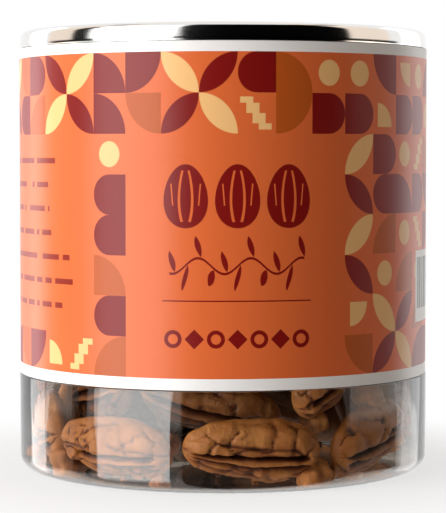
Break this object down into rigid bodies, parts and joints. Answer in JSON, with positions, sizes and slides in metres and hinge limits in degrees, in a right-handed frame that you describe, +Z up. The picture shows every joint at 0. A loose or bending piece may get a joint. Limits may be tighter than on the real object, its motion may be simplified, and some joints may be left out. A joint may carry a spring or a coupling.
{
  "type": "can of pecan halves",
  "caption": "Clear straight-sided can with a seamed easy-open metal end, a lifting ring pull, a wrap label and shelled pecan halves that show through its clear band.",
  "frame": {"origin": "centre of the standing ring under the can's base", "axes": "+Z up along the can's axis; -Y towards the front of the label; the ring pull's rivet lies towards +Y"},
  "size_m": [0.085, 0.085, 0.0905],
  "materials": {
    "clear_plastic": "gloss",
    "end_metal": "polished",
    "tab_metal": "satin",
    "sealing_compound": "matte",
    "label_paper": "satin",
    "pecan_kernel": "satin"
  },
  "bodies": {
    "can": {"can_body": "clear_plastic", "seamed_end": "end_metal", "sealing_ring": "sealing_compound", "tab_tongue": "tab_metal", "label": "label_paper", "pecan_half_01": "pecan_kernel", "pecan_half_02": "pecan_kernel", "pecan_half_03": "pecan_kernel", "pecan_half_04": "pecan_kernel", "pecan_half_05": "pecan_kernel", "pecan_half_06": "pecan_kernel", "pecan_half_07": "pecan_kernel", "pecan_half_08": "pecan_kernel", "pecan_half_09": "pecan_kernel", "pecan_half_10": "pecan_kernel", "pecan_half_11": "pecan_kernel", "pecan_half_12": "pecan_kernel", "pecan_half_13": "pecan_kernel", "pecan_half_14": "pecan_kernel", "pecan_half_15": "pecan_kernel", "pecan_half_16": "pecan_kernel", "pecan_half_17": "pecan_kernel", "pecan_half_18": "pecan_kernel", "pecan_half_19": "pecan_kernel", "pecan_half_20": "pecan_kernel", "pecan_half_21": "pecan_kernel", "pecan_half_22": "pecan_kernel", "pecan_half_23": "pecan_kernel", "pecan_half_24": "pecan_kernel", "pecan_half_25": "pecan_kernel", "pecan_half_26": "pecan_kernel", "pecan_half_27": "pecan_kernel", "pecan_half_28": "pecan_kernel", "pecan_half_29": "pecan_kernel", "pecan_half_30": "pecan_kernel", "pecan_half_31": "pecan_kernel", "pecan_half_32": "pecan_kernel", "pecan_half_33": "pecan_kernel", "pecan_half_34": "pecan_kernel", "pecan_half_35": "pecan_kernel", "pecan_half_36": "pecan_kernel", "pecan_half_37": "pecan_kernel", "pecan_half_38": "pecan_kernel", "pecan_half_39": "pecan_kernel", "pecan_half_40": "pecan_kernel", "pecan_half_41": "pecan_kernel", "pecan_half_42": "pecan_kernel", "pecan_half_43": "pecan_kernel", "pecan_half_44": "pecan_kernel", "pecan_half_45": "pecan_kernel", "pecan_half_46": "pecan_kernel", "pecan_half_47": "pecan_kernel", "pecan_half_48": "pecan_kernel", "pecan_half_49": "pecan_kernel", "pecan_half_50": "pecan_kernel", "pecan_half_51": "pecan_kernel", "pecan_half_52": "pecan_kernel", "pecan_half_53": "pecan_kernel"},
    "tab": {"pull_tab": "tab_metal"}
  },
  "joints": [
    {"name": "tab_lift", "type": "hinge", "parent": "can", "child": "tab", "pos_m": [0, 0.0352, 0.08825], "axis": [-1, 0, 0], "range_deg": [0, 80]}
  ]
}
